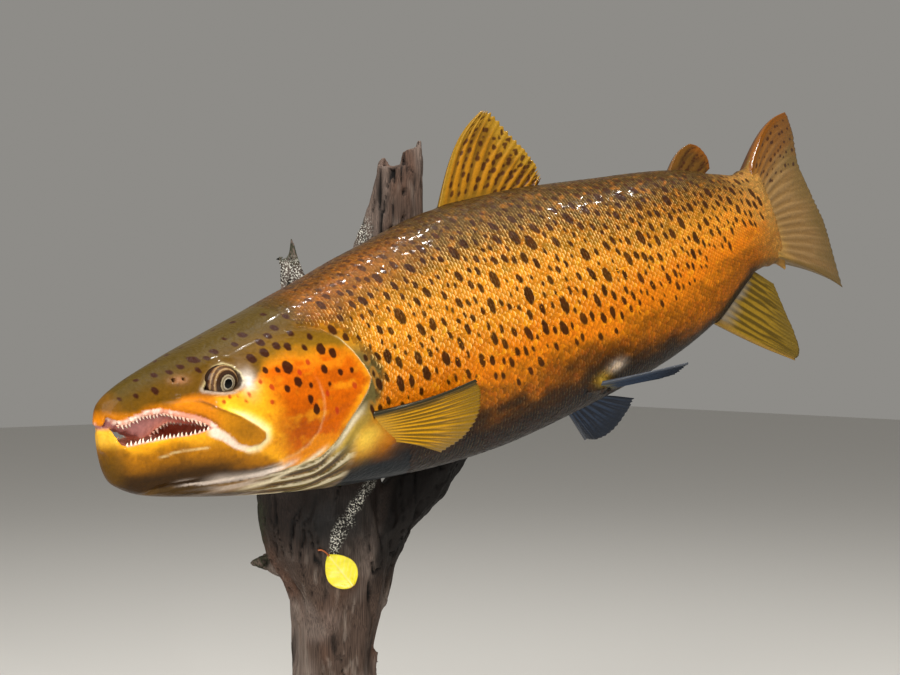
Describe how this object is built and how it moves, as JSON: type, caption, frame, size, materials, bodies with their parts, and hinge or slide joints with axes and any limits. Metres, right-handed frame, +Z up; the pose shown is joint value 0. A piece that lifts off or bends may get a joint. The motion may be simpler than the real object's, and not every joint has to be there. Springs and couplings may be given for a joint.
{
  "type": "mounted trout on driftwood",
  "caption": "Life-size still taxidermy mount of a large male brown trout, mouth open, carried by an upright driftwood post with a small leaf on a plain oval base.",
  "frame": {"origin": "centre of the base's underside, on the surface that the mount stands on", "axes": "+Z up, -X towards the fish's head, +X towards its tail, -Y towards the fish's left side, which is the show side"},
  "size_m": [0.8206, 0.2917, 0.6535],
  "materials": {
    "fish_skin_head": "varnished fish skin, glossy",
    "fish_skin_gold": "varnished fish skin, glossy",
    "fish_skin_orange": "varnished fish skin, glossy",
    "gill_membrane": "varnished membrane with bony rays, glossy",
    "glass_eye": "painted glass eye, polished",
    "mouth_flesh": "painted modelling resin, glossy",
    "scaled_skin": "varnished scaled fish skin, glossy",
    "golden_fin": "stiffened varnished fin, glossy",
    "adipose_skin": "varnished fish skin, glossy",
    "dark_fin": "stiffened varnished fin, glossy",
    "weathered_driftwood": "weathered, unfinished, matt",
    "yellow_leaf": "preserved leaf, lacquered",
    "dark_wood_base": "stained and waxed, satin"
  },
  "bodies": {
    "root": {"head": "fish_skin_head", "lower_jaw": "fish_skin_gold", "maxilla_left": "fish_skin_gold", "maxilla_right": "fish_skin_gold", "gill_cover_left": "fish_skin_orange", "gill_cover_right": "fish_skin_orange", "gill_membrane_left": "gill_membrane", "gill_membrane_right": "gill_membrane", "eye_left": "glass_eye", "eye_right": "glass_eye", "tongue": "mouth_flesh", "trunk_front": "scaled_skin", "trunk_middle": "scaled_skin", "trunk_rear": "scaled_skin", "tail_stalk": "scaled_skin", "dorsal_fin": "golden_fin", "anal_fin": "golden_fin", "pectoral_fin_left": "golden_fin", "pectoral_fin_right": "golden_fin", "tail_fin": "golden_fin", "adipose_fin": "adipose_skin", "pelvic_fin_left": "dark_fin", "pelvic_fin_right": "dark_fin", "driftwood": "weathered_driftwood", "leaf": "yellow_leaf", "stand_base": "dark_wood_base"}
  },
  "joints": []
}
